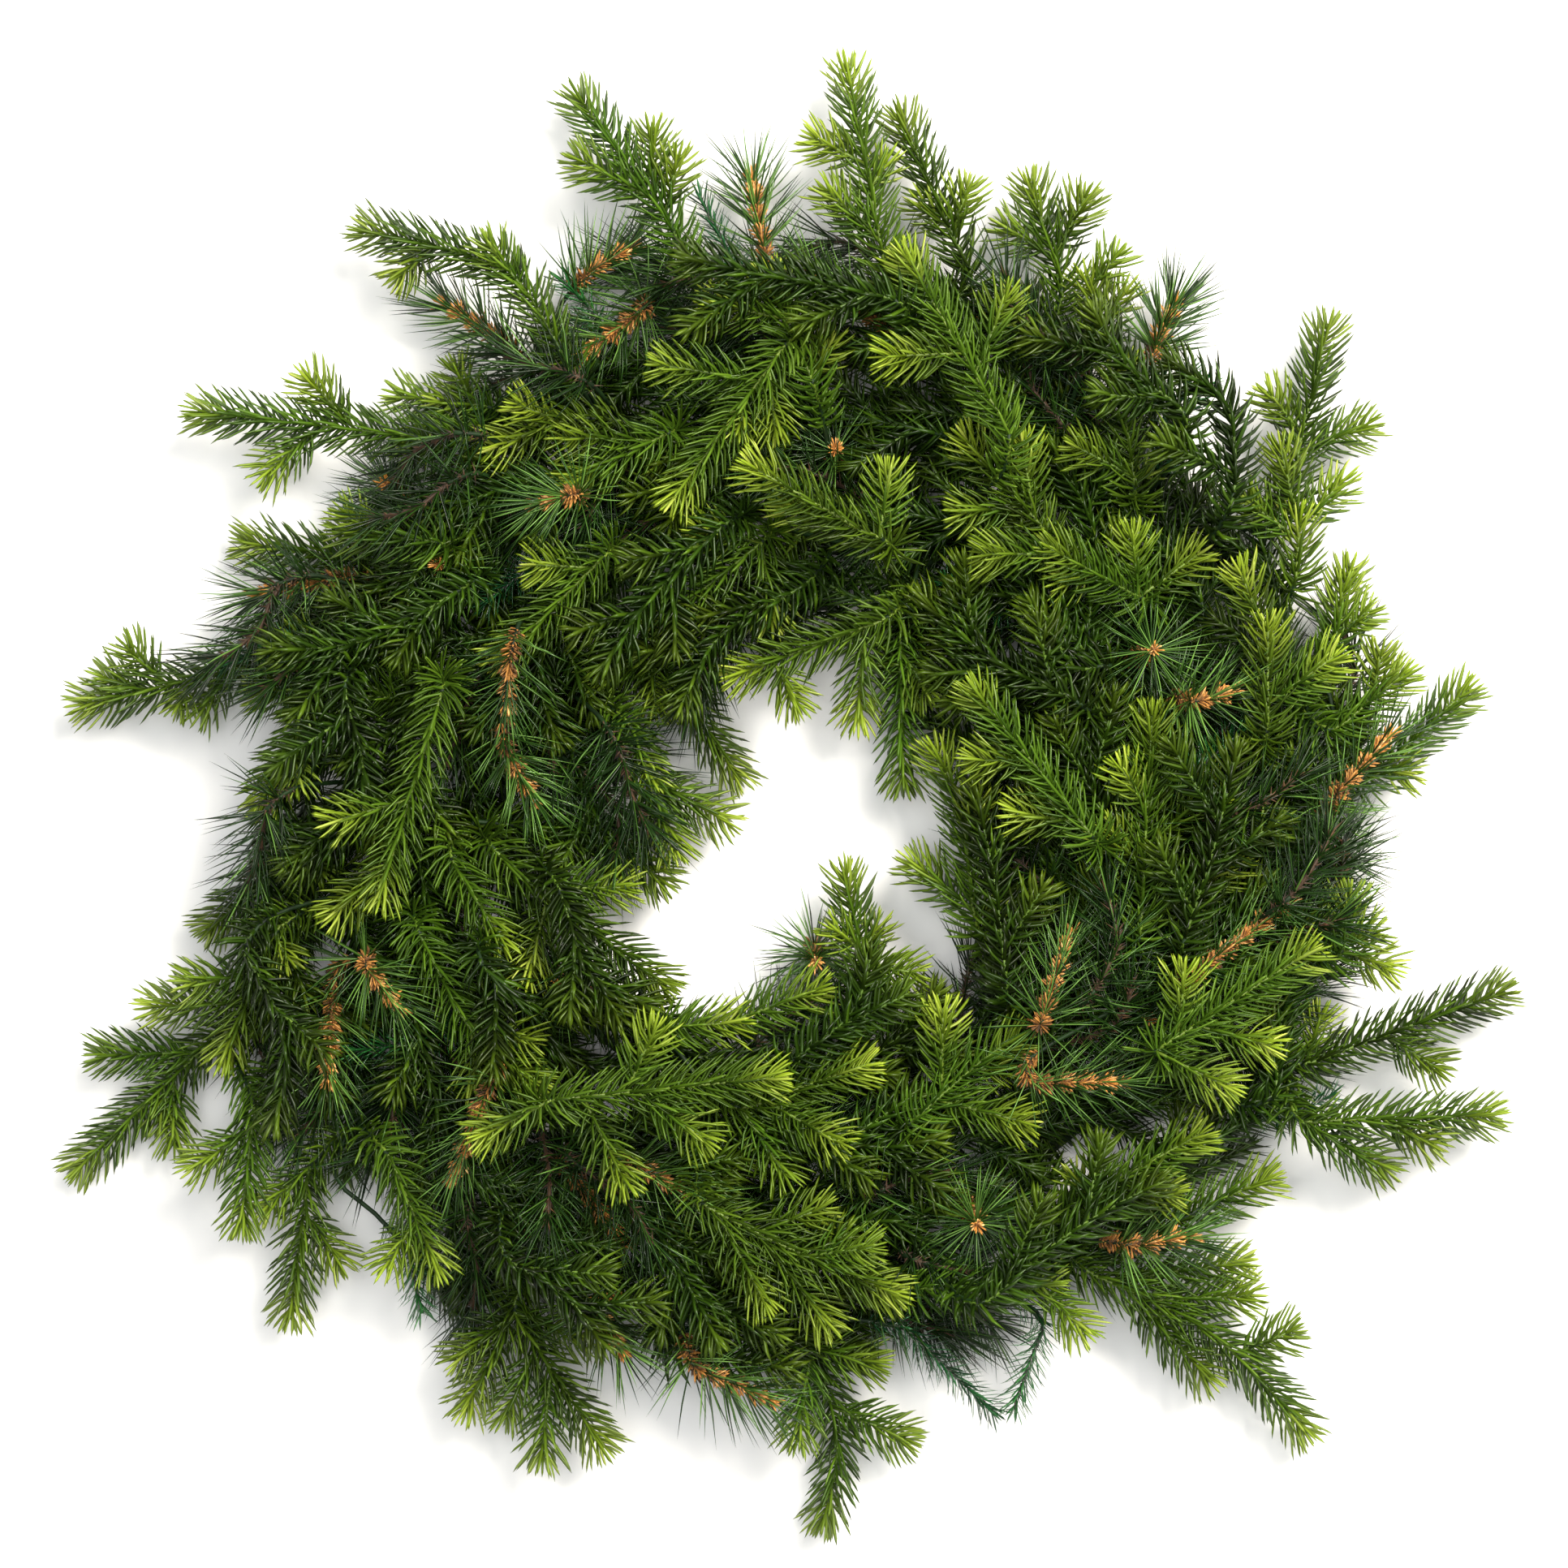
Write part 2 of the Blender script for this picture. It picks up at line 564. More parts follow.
def arm_stalk(root, heading, reach, dip, trunk, index):
    """A stalk's line from a point of another stalk of the branch to a root."""
    start = trunk[index]
    behind = root - reach * heading
    behind[2] = max(behind[2], min(start[2], root[2])) - dip
    rise = start + (trunk[index + 1] - trunk[index]) * ARM_START_SHARE
    return bezier(start, rise, behind, root, STALK_PIECES)


def tightest_turn(line):
    """The cosine of a line's sharpest turn: 1 where it is straight."""
    steps = np.diff(line, axis=0)
    steps /= np.linalg.norm(steps, axis=1)[:, None]
    return (steps[1:] * steps[:-1]).sum(axis=1).min()


def stalk_for(placed, line, branch, trunk):
    """The clearest way from the frame, or from the branch's first stalk, to a root."""
    root = line[0]
    heading = (line[1] - line[0]) / np.linalg.norm(line[1] - line[0])
    spot = root[:2] - STALK_REACHES[0] * heading[:2] - RING_CENTRE
    turn = math.atan2(spot[1], spot[0])
    best = None
    for reach, dip in itertools.product(STALK_REACHES, STALK_DIPS):
        if trunk is None:
            ways = [
                hooked_stalk(root, heading, reach, dip, radius, turn + math.radians(swing))
                for radius in (INNER_RING_RADIUS, OUTER_RING_RADIUS)
                for swing in STALK_TURNS
            ]
        else:
            ways = [
                arm_stalk(root, heading, reach, dip, trunk, index)
                for index in range(len(HOOK_ANGLES) + 1, len(trunk) - 1)
            ]
        old = near(placed.other_branches(branch), ways, STEM_CLEARANCE)
        for way in ways:
            climb = way[len(HOOK_ANGLES):] if trunk is None else way
            gap = gaps(pieces_of(climb, STALK_RADIUS), old).min()
            if trunk is None:
                hook = pieces_of(way[: len(HOOK_ANGLES) + 1], STALK_RADIUS)
                gap = min(gap, gaps(hook, old[old[:, 6] != RING_WIRE_CORNER]).min())
            lowest = climb[:, 2].min() - STALK_RADIUS - LOWEST_NEEDLE
            gap = min(gap, STALK_CLEARANCE) + min(lowest, 0)
            kink = max(KINK_COSINE - tightest_turn(np.vstack([way, line[1]])), 0)
            score = gap - STALK_LENGTH_COST * length_of(way) - KINK_COST * kink
            if best is None or score > best[0]:
                best = (score, way)
    return best[1]


# %% Laying everything out
Stem = namedtuple("Stem", "kind layer line stalk")


def stems_of(spray, lines, way):
    """A spray's stems. The main one has the stalk's line, up to their shared point."""
    stalks = [way[:-1]] + [way[:0]] * (len(lines) - 1)
    return [Stem(spray.kind, spray.layer, line, stalk) for line, stalk in zip(lines, stalks)]


def lay_out(branches):
    """Each branch's stems."""
    placed = frame_placed()
    order = sorted(
        (spray.layer, branch, index)
        for branch, sprays in enumerate(branches)
        for index, spray in enumerate(sprays)
    )
    settled_lines = {}
    for layer, branch, index in order:
        spray = branches[branch][index]
        lines = settled(placed, spray, branch)
        settled_lines[branch, index] = lines
        for line in lines:
            placed.add(pieces_of(line, FOLIAGE[spray.kind].stem_radius), branch)
    stems = [[] for _ in branches]
    for branch, sprays in enumerate(branches):
        trunk = None
        for index, spray in enumerate(sprays):
            lines = settled_lines[branch, index]
            way = stalk_for(placed, lines[0], branch, trunk)
            placed.add(pieces_of(way, STALK_RADIUS), branch)
            stems[branch] += stems_of(spray, lines, way)
            if trunk is None:
                trunk = way
    return stems


stems = lay_out(BRANCHES + PICKS)
ring_low, ring_high = (np.array(corner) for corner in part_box("ring_frame"))
# The solids were centred after they were made, so the frame says where they went.
SHIFT = np.array([*((ring_low + ring_high) / 2)[:2], 0]) - [*RING_CENTRE, 0]
print("branches", len(stems), "stems", sum(len(own) for own in stems), "shift", SHIFT)

# %% [markdown]
# ## The sprays underneath
# A wreath is packed until no frame shows, so under the sprays that can be told apart
# in the photograph lie many that can't. They fill whatever the upper ones leave
# bare between the hole and the outer edge, and follow the same swirl: counter-
# clockwise half way across, turning in towards the hole and out towards the rim.

# %% Where the foliage ends
# How far the hole's edge and the rim lie from the ring's centre in the photograph,
# in its pixels, at each of these steps round, in degrees.
EDGE_STEP = 15
INNER_EDGE = (215, 150, 150, 165, 185, 175, 175, 175, 175, 175, 130, 195, 190, 150, 280, 275,
              270, 265, 205, 175, 150, 260, 220, 205)
OUTER_EDGE = (665, 705, 685, 675, 735, 715, 690, 735, 705, 660, 675, 755, 660, 725, 775, 735,
              785, 695, 725, 685, 685, 675, 735, 685)
RIM_MARGIN = 2 * MM
HOLE_MARGIN = 9 * MM


def edge_at(table, turn):
    """The radius of an edge of the foliage at a turn round the ring."""
    degrees = np.degrees(turn) % 360
    stops = np.arange(len(table) + 1) * EDGE_STEP
    return np.interp(degrees, stops, [*table, table[0]]) * PIXEL


def polar(places):
    """The turns round the ring of places on plan, and their distances from its centre."""
    away = places - RING_CENTRE
    return np.arctan2(away[:, 1], away[:, 0]), np.linalg.norm(away, axis=1)


def outside(places):
    """How far places on plan lie outside the foliage's edges."""
    turns, radii = polar(places)
    past = radii - edge_at(OUTER_EDGE, turns) + RIM_MARGIN
    short = edge_at(INNER_EDGE, turns) + HOLE_MARGIN - radii
    return np.maximum(np.maximum(past, short), 0)


# %% One filling spray
# Of so many drafts of a spray, the one that strays least over the edges is kept, if
# its main stem strays less than the slack, with the side twigs that do so too.
FILL_TRIES = 14
EDGE_SLACK = 2.5 * MM
TWIG_WEIGHT = 0.2
FILL_LAYERS = (0, 0, 1, 0, 0, 1, 1)
FILL_LENGTHS = {"fir": (55 * MM, 100 * MM), "pine": (30 * MM, 42 * MM)}
FILL_BEND = 0.12
FILL_BEHIND = 0.45
FILL_AHEAD = 0.55
FILL_FORKS = (0.12, 0.34, 0.56)
FILL_FORK_ANGLES = (32, 48)
FILL_TWIG = (32 * MM, 46 * MM)
FORK_BEND = 1.6
# How far a spray points outward of the way round, in degrees, by its distance from
# the ring's centre in millimetres.
SWIRL = ((60, -50), (110, -25), (150, 0), (200, 32), (240, 55), (300, 75))
SWIRL_SPREAD = 0.3
fill_draw = np.random.default_rng(11)


def swirl_heading(spot):
    """Which way a spray over a spot points on plan."""
    turn = math.atan2(*(spot - RING_CENTRE)[::-1])
    radius = np.linalg.norm(spot - RING_CENTRE)
    outward = math.radians(np.interp(radius / MM, *zip(*SWIRL)))
    swing = turn + math.pi / 2 - outward + fill_draw.normal(0, SWIRL_SPREAD)
    return np.array([math.cos(swing), math.sin(swing)])


def off_plan(spot):
    """A place on the wreath as a pixel of the photograph."""
    return (spot[0] / PIXEL + ORIGIN_PIXEL[0], ORIGIN_PIXEL[1] - spot[1] / PIXEL)


def filler_draft(kind, spot):
    """A stem through a spot, and side twigs if it is fir."""
    heading = swirl_heading(spot)
    length = fill_draw.uniform(*FILL_LENGTHS[kind])
    bend = fill_draw.normal(0, FILL_BEND) * length * np.array([-heading[1], heading[0]])
    root = spot - FILL_BEHIND * length * heading
    tip = spot + FILL_AHEAD * length * heading
    lines = [[root, (root + tip) / 2 + bend, tip]]
    if kind == "fir":
        side = fill_draw.choice([-1, 1])
        for share in FILL_FORKS:
            swing = side * math.radians(fill_draw.uniform(*FILL_FORK_ANGLES))
            turn = [[math.cos(swing), math.sin(swing)], [-math.sin(swing), math.cos(swing)]]
            fork = root + share * length * heading + FORK_BEND * share * bend
            reach = fill_draw.uniform(*FILL_TWIG)
            lines.append([fork, fork + reach * (heading @ np.array(turn))])
            side = -side
    return lines


def filler(kind, spot):
    """A spray over a spot that keeps within the foliage's edges, or None."""
    drafts = []
    for _ in range(FILL_TRIES):
        lines = filler_draft(kind, spot)
        strays = [
            outside(np.array([line[0], (line[0] + line[-1]) / 2, line[-1]])).max()
            for line in lines
        ]
        drafts.append((strays[0] + TWIG_WEIGHT * sum(strays[1:]), lines, strays))
    _, lines, strays = min(drafts, key=lambda draft: draft[0])
    if strays[0] > EDGE_SLACK:
        return None
    kept = [line for line, stray in zip(lines[1:], strays[1:]) if stray < EDGE_SLACK]
    layer = int(fill_draw.choice(FILL_LAYERS))
    return Spray(kind, layer, [[off_plan(place) for place in line] for line in [lines[0]] + kept])


# %% Which cells are bare
# The plan is cut into square cells, and each has a count of the stems that cover it.
CELL = 4 * MM
PLAN_REACH = 0.29
HALF_WIDTHS = {"fir": 6.5 * MM, "foil": 6.5 * MM, "pine": 7 * MM}
span = np.arange(-PLAN_REACH, PLAN_REACH, CELL)
cells = np.array(list(itertools.product(span, span))) + RING_CENTRE
turns, radii = polar(cells)
cells = cells[(radii > edge_at(INNER_EDGE, turns)) & (radii < edge_at(OUTER_EDGE, turns))]
counts = np.zeros(len(cells))
placed = frame_placed()


def put_in_place(kind, line, branch):
    """Add a stem to what is in place, and count the cells that its needles cover."""
    placed.add(pieces_of(line, FOLIAGE[kind].stem_radius), branch)
    spots = along(line, np.arange(0, length_of(line), CELL))[:, :2]
    away = np.linalg.norm(cells[:, None] - spots[None], axis=2).min(axis=1)
    counts[away < HALF_WIDTHS[kind]] += 1


def cells_near(spot, radius):
    return np.linalg.norm(cells - spot, axis=1) < radius


for branch, own in enumerate(stems):
    for stem in own:
        put_in_place(stem.kind, stem.line, branch)
print("cells bare before filling", int((counts == 0).sum()), "of", len(cells))

# %% Fill in underneath
# Each turn, the barest neighbourhood of a few bare cells gets the next spray. Every
# so many is pine, and so are some of those near the photograph's pine picks.
FILL_COUNT = 300
COUNT_JITTER = 0.8
BARE_CELLS = 60
NEIGHBOURHOOD = 22 * MM
FULL_COUNT = 3
PINE_EVERY = 11
PINE_FIRST = 3
PINE_COMPANY = 45 * MM
PINE_SHARE = 0.35
GIVEN_UP = 1.5 * CELL
FILL_STALK_REACH = 16 * MM
pine_tips = np.array([stem.line[-1][:2] for own in stems for stem in own if stem.kind == "pine"])
fillers = []
for number in range(FILL_COUNT):
    crowd = counts + fill_draw.uniform(0, COUNT_JITTER, len(cells))
    tries = cells[np.argsort(crowd)[:BARE_CELLS]]
    crowds = [
        np.minimum(counts[cells_near(spot, NEIGHBOURHOOD)], FULL_COUNT).mean() for spot in tries
    ]
    spot = tries[int(np.argmin(crowds))]
    kind = "pine" if number % PINE_EVERY == PINE_FIRST else "fir"
    pines_near = np.linalg.norm(pine_tips - spot, axis=1).min() < PINE_COMPANY
    if pines_near and fill_draw.uniform() < PINE_SHARE:
        kind = "pine"
    spray = filler(kind, spot)
    if spray is None:
        counts[cells_near(spot, GIVEN_UP)] += 1
        continue
    lines = settled(placed, spray, len(stems) + number)
    for line in lines:
        put_in_place(kind, line, len(stems) + number)
    root, heading = lines[0][0], lines[0][1] - lines[0][0]
    heading /= np.linalg.norm(heading)
    behind = root[:2] - FILL_STALK_REACH * heading[:2] - RING_CENTRE
    distance = np.linalg.norm(behind)
    nearer_inner = abs(INNER_RING_RADIUS - distance) <= abs(OUTER_RING_RADIUS - distance)
    ring_radius = INNER_RING_RADIUS if nearer_inner else OUTER_RING_RADIUS
    turn = math.atan2(behind[1], behind[0])
    stalk = hooked_stalk(root, heading, FILL_STALK_REACH, 0, ring_radius, turn)
    fillers.append(stems_of(spray, lines, stalk))
print("fillers", len(fillers), "bare cells left", int((counts == 0).sum()))

# %% [markdown]
# ## Materials
# Every colour is a plastic's own, so most of what the eye reads as variety is in
# two things: the moulder's lime tips, sprayed over the deep green, and how each
# needle catches the light. Each point of the foliage carries a tint: how lime or
# how orange it is, a draw of its needle's own, how far out along the needle it is,
# and the tone of its spray.


# %% Small helpers for materials
RELIEF_STRENGTH = 0.5


def linear(code):
    """An sRGB hex colour as linear red, green, blue and alpha."""
    values = [int(code[start:start + 2], 16) / 255 for start in (1, 3, 5)]
    return tuple(
        value / 12.92 if value <= 0.04045 else ((value + 0.055) / 1.055) ** 2.4
        for value in values
    ) + (1.0,)


def feed(tree, node, values):
    """Set a node's inputs to values, or link them to sockets."""
    for name, value in values.items():
        if isinstance(value, bpy.types.NodeSocket):
            tree.links.new(value, node.inputs[name])
        else:
            node.inputs[name].default_value = value


def add(tree, kind, values=None, **settings):
    """A node with its settings and its inputs."""
    node = tree.nodes.new(kind)
    for name, value in settings.items():
        setattr(node, name, value)
    feed(tree, node, values or {})
    return node


def mixed(tree, share, first, second):
    """The colour between two, by a share."""
    node = add(tree, "ShaderNodeMix", {0: share, 6: first, 7: second}, data_type="RGBA")
    return node.outputs[2]


def plain_material(name, roughness, **values):
    """A material with its Principled shader's own values set."""
    made = bpy.data.materials.new(name)
    made.use_nodes = True
    shader = made.node_tree.nodes["Principled BSDF"]
    shader.inputs["Roughness"].default_value = roughness
    for socket, value in values.items():
        shader.inputs[socket.replace("_", " ")].default_value = value
    return made, made.node_tree, shader


def tint_of(tree):
    """The tint's lime or orange, its needle's own draw, and its spray's tone."""
    tint = add(tree, "ShaderNodeAttribute", attribute_name="tint")
    split = add(tree, "ShaderNodeSeparateColor", {"Color": tint.outputs["Color"]})
    return split.outputs[0], split.outputs[1], tint.outputs["Alpha"]


def noise(tree, size, detail=2.0):
    """Noise with features of a real size, in metres."""
    place = add(tree, "ShaderNodeTexCoord").outputs["Object"]
    values = {"Vector": place, "Scale": 1 / size, "Detail": detail}
    return add(tree, "ShaderNodeTexNoise", values).outputs["Fac"]


def ramp(tree, share, *stops):
    """A colour ramp with its stops as (place, colour)."""
    node = add(tree, "ShaderNodeValToRGB", {"Fac": share})
    for index, (place, colour) in enumerate(stops):
        if index < 2:
            stop = node.color_ramp.elements[index]
            stop.position = place
        else:
            stop = node.color_ramp.elements.new(place)
        stop.color = linear(colour)
    return node.outputs["Color"]


def finish(tree, shader, colour, relief=None, depth=0.0):
    """Link a colour to the shader, and relief of a real size and depth, in metres."""
    feed(tree, shader, {"Base Color": colour})
    if relief is not None:
        values = {"Height": noise(tree, relief), "Distance": depth}
        values["Strength"] = RELIEF_STRENGTH
        feed(tree, shader, {"Normal": add(tree, "ShaderNodeBump", values).outputs["Normal"]})


# %% Moulded needles
# Polyethylene, moulded round the twig: satin, a little waxy, deep green with
# blotches of a yellower green, and lime where the tips were sprayed. The lime
# gives the eye each spray's end against the dark of the wreath.
moulded, tree, shader = plain_material(
    "moulded_polyethylene", 0.38, Coat_Weight=0.08, Specular_IOR_Level=0.26, Coat_Roughness=0.25
)
lime, own, tone = tint_of(tree)
deep = ramp(tree, own, (0.0, "#081301"), (0.45, "#223c06"), (1.0, "#4c6a0e"))
green = mixed(tree, tone, deep, ramp(tree, own, (0.0, "#213f0a"), (1.0, "#4c7418")))
blotch = ramp(tree, noise(tree, 6 * MM), (0.45, "#000000"), (0.7, "#505050"))
green = mixed(tree, blotch, green, linear("#527a16"))
fresh = ramp(tree, own, (0.0, "#8caa20"), (0.6, "#aec436"), (1.0, "#d0da60"))
finish(tree, shader, mixed(tree, lime, green, fresh), 0.7 * MM, 0.12 * MM)

# %% Moulded twigs
# The same plastic where it wraps the twig's wire: yellower, and rough with the
# stubs of its needles.
twig, tree, shader = plain_material("moulded_twig", 0.5)
lime, _, _ = tint_of(tree)
bark = ramp(tree, noise(tree, 2.5 * MM), (0.3, "#274a0e"), (0.7, "#5a7a1c"))
finish(tree, shader, mixed(tree, lime, bark, linear("#b3b52e")), 0.8 * MM, 0.3 * MM)

# %% Long pine needles
# Thin strips of vinyl film rolled tight: dark grey-green, with a pale streak of
# light along each, which is what makes them read as hair-thin.
pine_needle, tree, shader = plain_material(
    "rolled_vinyl_film", 0.32, Coat_Weight=0.1, Specular_IOR_Level=0.3
)
_, own, _ = tint_of(tree)
strip = ramp(tree, own, (0.0, "#0f2206"), (0.5, "#264612"), (1.0, "#6a9440"))
streak = ramp(tree, noise(tree, 3 * MM), (0.5, "#000000"), (0.8, "#606060"))
finish(tree, shader, mixed(tree, streak, strip, linear("#54723e")))

# %% Fuzzy stems
# A chenille of short film bristles on a wire: brown below, orange at the tip of
# each pick, rough and matt.
bristle, tree, shader = plain_material("chenille_bristle", 0.62, Sheen_Weight=0.08)
orange, own, _ = tint_of(tree)
brown = ramp(tree, own, (0.0, "#2c1c08"), (0.5, "#8c5a1c"), (1.0, "#bd8030"))
bright = ramp(tree, own, (0.0, "#d48a30"), (0.6, "#f0a84a"), (1.0, "#ffd08a"))
finish(tree, shader, mixed(tree, orange, brown, bright), 0.5 * MM, 0.1 * MM)

# %% Cut foil needles
# Flat vinyl film cut in strips: glossier than the moulded needles, from blue-green
# to mid green by the sprig.
foil_needle, tree, shader = plain_material("cut_vinyl_film", 0.28, Coat_Weight=0.4)
_, own, tone = tint_of(tree)
cool = ramp(tree, own, (0.0, "#0d3018"), (0.6, "#1a5028"), (1.0, "#357040"))
warm = ramp(tree, own, (0.0, "#164a18"), (0.6, "#24682b"), (1.0, "#448c40"))
film = mixed(tree, tone, cool, warm)
patch = ramp(tree, noise(tree, 5 * MM), (0.4, "#000000"), (0.8, "#303030"))
finish(tree, shader, mixed(tree, patch, film, linear("#5c9a66")))

# %% Wires
# Stalks and the frame are steel wire in green enamel, scuffed paler in places. The
# sprigs' wires are bare twisted steel that has gone dull.
enamel, tree, shader = plain_material("green_enamelled_wire", 0.6, Specular_IOR_Level=0.3)
coat = ramp(tree, noise(tree, 9 * MM, 4.0), (0.35, "#0b1a08"), (0.75, "#1d3a12"))
scuff = ramp(tree, noise(tree, 2.2 * MM, 5.0), (0.68, "#000000"), (0.8, "#606060"))
finish(tree, shader, mixed(tree, scuff, coat, linear("#3e4c34")), 1.1 * MM, 0.08 * MM)

bare_wire, tree, shader = plain_material("dull_twisted_steel", 0.42, Metallic=0.8)
steel = ramp(tree, noise(tree, 3 * MM, 4.0), (0.3, "#3c4038"), (0.75, "#7e8478"))
finish(tree, shader, steel, 0.9 * MM, 0.05 * MM)

LOOKS = (moulded, twig, pine_needle, bristle, foil_needle, enamel, bare_wire)
MOULDED, TWIG, PINE_NEEDLE, BRISTLE, FOIL_NEEDLE, ENAMEL, BARE_WIRE = range(len(LOOKS))

# %% [markdown]
# ## One needle of each kind
# A needle is drawn out of a small ring, station by station, and closed at a point.
# It is one unit long and wide here, and is stretched to its real size where it is
# set, so one template serves thousands.

# %% Needle templates
NEEDLE_SIDES = 3


def arrays_of(mesh):
    """A bmesh's points, and its faces as lists of point numbers. Frees the bmesh."""
    mesh.verts.index_update()
    points = np.array([vert.co[:] for vert in mesh.verts])
    faces = [[vert.index for vert in face.verts] for face in mesh.faces]
    mesh.free()
    return points, faces


def needle_template(name, *stations, flatness=1.0):
    """The points and faces of a needle: rings at (height, width), then a tip."""
    mesh = bmesh.new()
    bmesh.ops.create_circle(mesh, segments=NEEDLE_SIDES, radius=stations[0][1])
    edges = mesh.edges[:]
    for height, width in stations[1:]:
        grown = bmesh.ops.extrude_edge_only(mesh, edges=edges)["geom"]
        verts = [item for item in grown if isinstance(item, bmesh.types.BMVert)]
        edges = [item for item in grown if isinstance(item, bmesh.types.BMEdge)]
        for vert in verts:
            vert.co.z = height
            vert.co.xy = vert.co.xy.normalized() * width
    cap = bmesh.ops.contextual_create(mesh, geom=edges)["faces"]
    tip = bmesh.ops.poke(mesh, faces=cap)["verts"][0]
    tip.co = (0, 0, 1)
    bmesh.ops.scale(mesh, vec=(1, flatness, 1), verts=mesh.verts)
    bmesh.ops.recalc_face_normals(mesh, faces=mesh.faces)
    points, faces = arrays_of(mesh)
    print(name, "needle", len(points), "points", len(faces), "faces")
    return points, faces


STUBBY = needle_template("stubby", (0, 0.8), (0.45, 1.0), (0.86, 0.8))
SHADED = needle_template("shaded", (0, 0.9), (0.62, 1.0))
LONG = needle_template("long", (0, 1.0), (0.55, 1.0))
SPIKE = needle_template("spike", (0, 1.0))
TAG = needle_template("tag", (0, 0.6), (0.75, 1.0))
STRIP = needle_template("strip", (0, 0.8), (0.7, 1.0), flatness=0.3)

# %% [markdown]
# ## Building one spray
# A spray is gathered as arrays: a tube for each stem, then a copy of a needle for
# each of its needles. Round a stem they follow the golden angle, as a real shoot's
# do, so that no two stand one behind the other.

# %% Gathering a piece
LOWEST_POINT = 0.5 * MM
HIGHEST_POINT = cad_box[1][2] + 2 * MM
# A needle's lime starts at this share of its tip's, and grows by this much.
LIME_AT_FOOT = 0.55
LIME_GROWTH = 0.45
Needles = namedtuple("Needles", "starts ways sides lengths widths bows")


class Gathered:
    """The points, faces, materials and tints of one piece."""

    def __init__(self):
        self.points, self.tints, self.corners = [], [], []
        self.sizes, self.slots = [], []
        self.count = 0

    def add(self, points, faces, slot, tints, copies=1):
        """Points with faces, which are repeated for each copy among the points."""
        points = points + SHIFT
        points[:, 2] = np.clip(points[:, 2], LOWEST_POINT, HIGHEST_POINT)
        starts = self.count + np.arange(copies)[:, None] * (len(points) // copies)
        self.points.append(points)
        self.tints.append(np.broadcast_to(tints, (len(points), 4)))
        self.corners.append((np.concatenate(faces)[None] + starts).ravel())
        self.sizes.append(np.tile([len(face) for face in faces], copies))
        self.slots.append(np.full(len(faces) * copies, slot))
        self.count += len(points)

    def add_needles(self, template, slot, needles, tints):
        """A copy of the template for each needle."""
        shape, faces = template
        across = np.cross(needles.ways, needles.sides)
        x, y, z = (shape[None, :, axis, None] for axis in range(3))
        points = needles.starts[:, None] + z * (needles.lengths[:, None] * needles.ways)[:, None]
        points = points + z * z * needles.bows[:, None]
        flat = x * needles.sides[:, None] + y * across[:, None]
        points += needles.widths[:, None, None] * flat
        whole = np.repeat(tints, len(shape), axis=0)
        whole[:, 2] = np.tile(shape[:, 2], len(tints))
        whole[:, 0] *= LIME_AT_FOOT + LIME_GROWTH * whole[:, 2]
        self.add(points.reshape(-1, 3), faces, slot, whole, len(tints))

    def finished(self, name, node):
        """Make the gathered piece stand for its CAD node, and count its triangles."""
        mesh = bpy.data.meshes.new(name)
        points = np.vstack(self.points)
        corners, sizes = np.concatenate(self.corners), np.concatenate(self.sizes)
        mesh.vertices.add(len(points))
        mesh.vertices.foreach_set("co", points.ravel())
        mesh.loops.add(len(corners))
        mesh.loops.foreach_set("vertex_index", corners)
        mesh.polygons.add(len(sizes))
        mesh.polygons.foreach_set("loop_start", np.cumsum(sizes) - sizes)
        used, numbers = np.unique(np.concatenate(self.slots), return_inverse=True)
        mesh.polygons.foreach_set("material_index", numbers.astype(np.int32))
        mesh.update(calc_edges=True)
        mesh.shade_smooth()
        tint = mesh.color_attributes.new("tint", "FLOAT_COLOR", "POINT")
        tint.data.foreach_set("color", np.vstack(self.tints).astype(np.float32).ravel())
        for number in used:
            mesh.materials.append(LOOKS[number])
        piece = bpy.data.objects.new(name, mesh)
        bpy.context.scene.collection.objects.link(piece)
        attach(piece, "root")
        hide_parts(node)
        return int((sizes - 2).sum())


# %% A tube along a line
def ring_matrices(points, radii):
    """A matrix for each ring of a tube, square to its line."""
    points = [Vector(point) for point in points]
    tangents = []
    for index in range(len(points)):
        before = points[max(index - 1, 0)]
        after = points[min(index + 1, len(points) - 1)]
        tangents.append((after - before).normalized())
    side = tangents[0].orthogonal().normalized()
    matrices = []
    for point, tangent, radius in zip(points, tangents, radii):
        side = (side - tangent * side.dot(tangent)).normalized()
        axes = Matrix((side, tangent.cross(side), tangent)).transposed().to_4x4()
        size = Matrix.Diagonal((radius, radius, 1, 1))
        matrices.append(Matrix.Translation(point) @ axes @ size)
    return matrices


def add_tube(piece, points, radii, sides, slot, tint):
    """A tube along points, extruded ring by ring and added to a piece."""
    mesh = bmesh.new()
    matrices = ring_matrices(points, np.broadcast_to(radii, len(points)))
    bmesh.ops.create_circle(mesh, cap_ends=True, segments=sides, radius=1, matrix=matrices[0])
    mesh.faces.ensure_lookup_table()
    first = end = mesh.faces[0]
    for before, after in zip(matrices, matrices[1:]):
        grown = bmesh.ops.extrude_face_region(mesh, geom=[end])["geom"]
        if end is not first:
            bmesh.ops.delete(mesh, geom=[end], context="FACES_ONLY")
        end = next(item for item in grown if isinstance(item, bmesh.types.BMFace))
        bmesh.ops.transform(mesh, matrix=after @ before.inverted(), verts=end.verts)
    bmesh.ops.recalc_face_normals(mesh, faces=mesh.faces)
    piece.add(*arrays_of(mesh), slot, tint)


# %% Needles along a line
GOLDEN_TURN = math.pi * (3 - math.sqrt(5))
FIRST_TURN_MOST = 7
TURN_SPREAD = 0.12
FINE_STEPS = 4
FINE_POINTS = 9
NEARLY_UPRIGHT = 0.05
